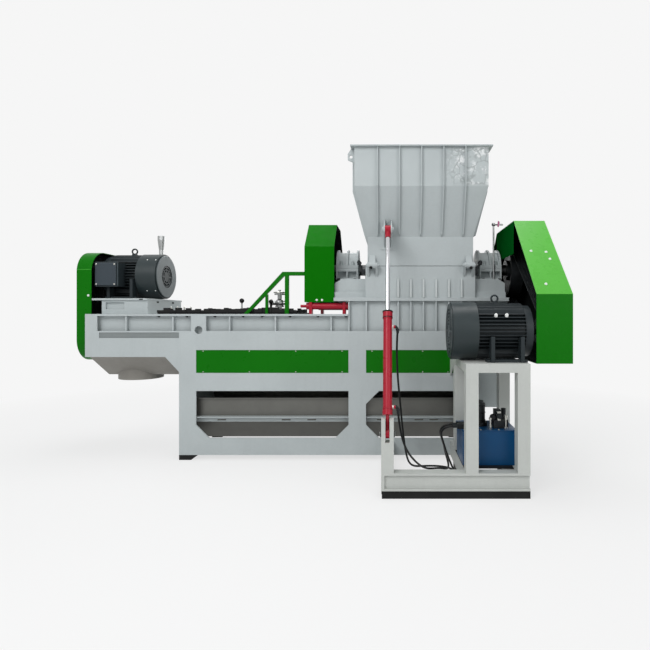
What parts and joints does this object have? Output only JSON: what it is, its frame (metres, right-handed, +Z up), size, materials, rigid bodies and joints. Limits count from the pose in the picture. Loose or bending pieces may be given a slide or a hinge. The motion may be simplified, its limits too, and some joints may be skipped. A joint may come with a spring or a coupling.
{
  "type": "plastic crusher with screw trough",
  "caption": "Plastic crusher with a tilting feed hopper over a horizontal screw trough, with belt-driven motors, a hydraulic lift cylinder and a motor stand.",
  "frame": {"origin": "on the floor, under the middle of the machine's box without its hoses", "axes": "+X along the machine from the screw drive to the crusher drive, +Y from the front to the rear, +Z up"},
  "size_m": [4.68, 2.188, 3.09],
  "materials": {
    "body_paint": "satin grey-white paint",
    "stand_paint": "satin off-white paint",
    "green_paint": "gloss green paint",
    "red_paint": "gloss red paint",
    "motor_paint": "satin blue-grey paint",
    "tank_paint": "gloss blue paint",
    "chute_paint": "satin beige-grey paint",
    "stainless": "brushed",
    "bright_steel": "satin",
    "chrome_rod": "polished",
    "knife_steel": "ground",
    "cast_iron": "dark, oiled",
    "rubber": "matt",
    "hose_rubber": "satin"
  },
  "bodies": {
    "frame": {"front_plate": "body_paint", "rear_plate": "body_paint", "frame_ends": "body_paint", "green_panels": "green_paint", "feet": "rubber", "drain_tray": "stainless", "tray_ledges": "body_paint", "trough_body": "body_paint", "trough_ribs": "body_paint", "deck": "body_paint", "trough_covers": "cast_iron", "outlet_chute": "chute_paint", "outlet_spigot": "chute_paint", "left_guard": "green_paint", "screw_motor": "motor_paint", "screw_motor_cowl": "motor_paint", "motor_pedestal": "body_paint", "screw_drive": "cast_iron", "vent_pipe": "bright_steel", "guard_brace": "green_paint", "water_valve": "bright_steel", "flywheel_guard": "green_paint", "ejector_cylinder": "red_paint", "crusher_base": "body_paint", "lower_housing": "body_paint", "bearing_pedestals": "body_paint", "bearing_seats": "body_paint", "bearing_caps": "body_paint", "rotor": "knife_steel", "rotor_wheels": "cast_iron", "hinge_ears": "body_paint", "swing_bolts": "cast_iron", "skid": "stand_paint", "skid_pads": "rubber", "cylinder_post": "stand_paint", "motor_stand": "stand_paint", "crusher_motor": "motor_paint", "crusher_motor_cowl": "motor_paint", "drive_belts": "cast_iron", "right_guard": "green_paint", "right_console": "body_paint", "hydraulic_tank": "tank_paint", "pump_unit": "cast_iron", "grease_pipe": "bright_steel", "lift_hose": "hose_rubber", "return_hose": "hose_rubber"},
    "hopper": {"upper_chamber": "body_paint", "hopper_taper": "body_paint", "hopper_bin": "body_paint", "hopper_rim": "body_paint", "hopper_ribs": "body_paint", "lift_bracket": "body_paint"},
    "barrel": {"lift_barrel": "red_paint"},
    "rod": {"lift_rod": "chrome_rod", "rod_eye": "red_paint"}
  },
  "joints": [
    {"name": "hopper_tilt", "type": "hinge", "parent": "frame", "child": "hopper", "pos_m": [0.685, -0.139, 1.9425], "axis": [1, 0, 0], "range_deg": [0, 45]},
    {"name": "barrel_swing", "type": "hinge", "parent": "frame", "child": "barrel", "pos_m": [0.84, -1.044, 0.5], "axis": [1, 0, 0], "range_deg": [0, 1.6]},
    {"name": "rod_slide", "type": "slide", "parent": "barrel", "child": "rod", "axis": [0, 0.3482, 0.9374], "range_m": [-0.31, 0]}
  ],
  "couplings": [
    {"joint": "barrel_swing", "follows": "hopper_tilt", "ratio": 0.032298},
    {"joint": "rod_slide", "follows": "hopper_tilt", "m_per_rad": -0.38536}
  ]
}
